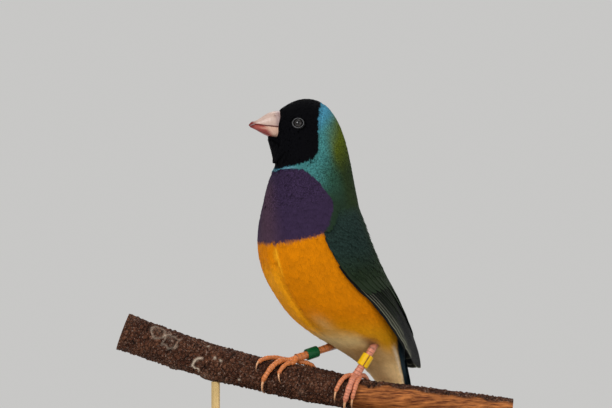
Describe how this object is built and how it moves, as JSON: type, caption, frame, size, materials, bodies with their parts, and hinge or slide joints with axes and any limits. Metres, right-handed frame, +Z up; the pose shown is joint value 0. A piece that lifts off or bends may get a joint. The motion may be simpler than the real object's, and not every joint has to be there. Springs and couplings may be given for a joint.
{
  "type": "gouldian finch on a branch, still model",
  "caption": "Still life-size model of a small perched finch gripping a cut branch, on a display stand with a flat base and two rods.",
  "frame": {"origin": "centre of the stand base's underside, on the surface that it stands on", "axes": "+Z up; +X along the branch, from its thick end on the viewer's left to its thin end; +Y away from the viewer, so that the bird's head is in profile with the bill to -X and its body is turned partly to -Y"},
  "size_m": [0.1368, 0.074, 0.1399],
  "materials": {
    "black_plumage": "matte feathers",
    "turquoise_plumage": "soft feathers",
    "yellow_plumage": "soft feathers",
    "green_plumage": "smooth feathers",
    "tail_plumage": "smooth feathers",
    "bill_horn": "satin horn",
    "eye": "wet gloss",
    "leg_skin": "scaled skin",
    "yellow_plastic": "satin",
    "green_plastic": "satin",
    "bark": "rough bark",
    "walnut": "oiled",
    "brass": "brushed"
  },
  "bodies": {
    "root": {"head": "black_plumage", "neck": "turquoise_plumage", "torso": "yellow_plumage", "tail": "tail_plumage", "wing_left": "green_plumage", "wing_right": "green_plumage", "bill_upper": "bill_horn", "bill_lower": "bill_horn", "eye_left": "eye", "eye_right": "eye", "leg_left": "leg_skin", "leg_right": "leg_skin", "foot_left": "leg_skin", "foot_right": "leg_skin", "ring_yellow": "yellow_plastic", "ring_green": "green_plastic", "perch_branch": "bark", "stand_base": "walnut", "stand_rod_1": "brass", "stand_rod_2": "brass"}
  },
  "joints": []
}
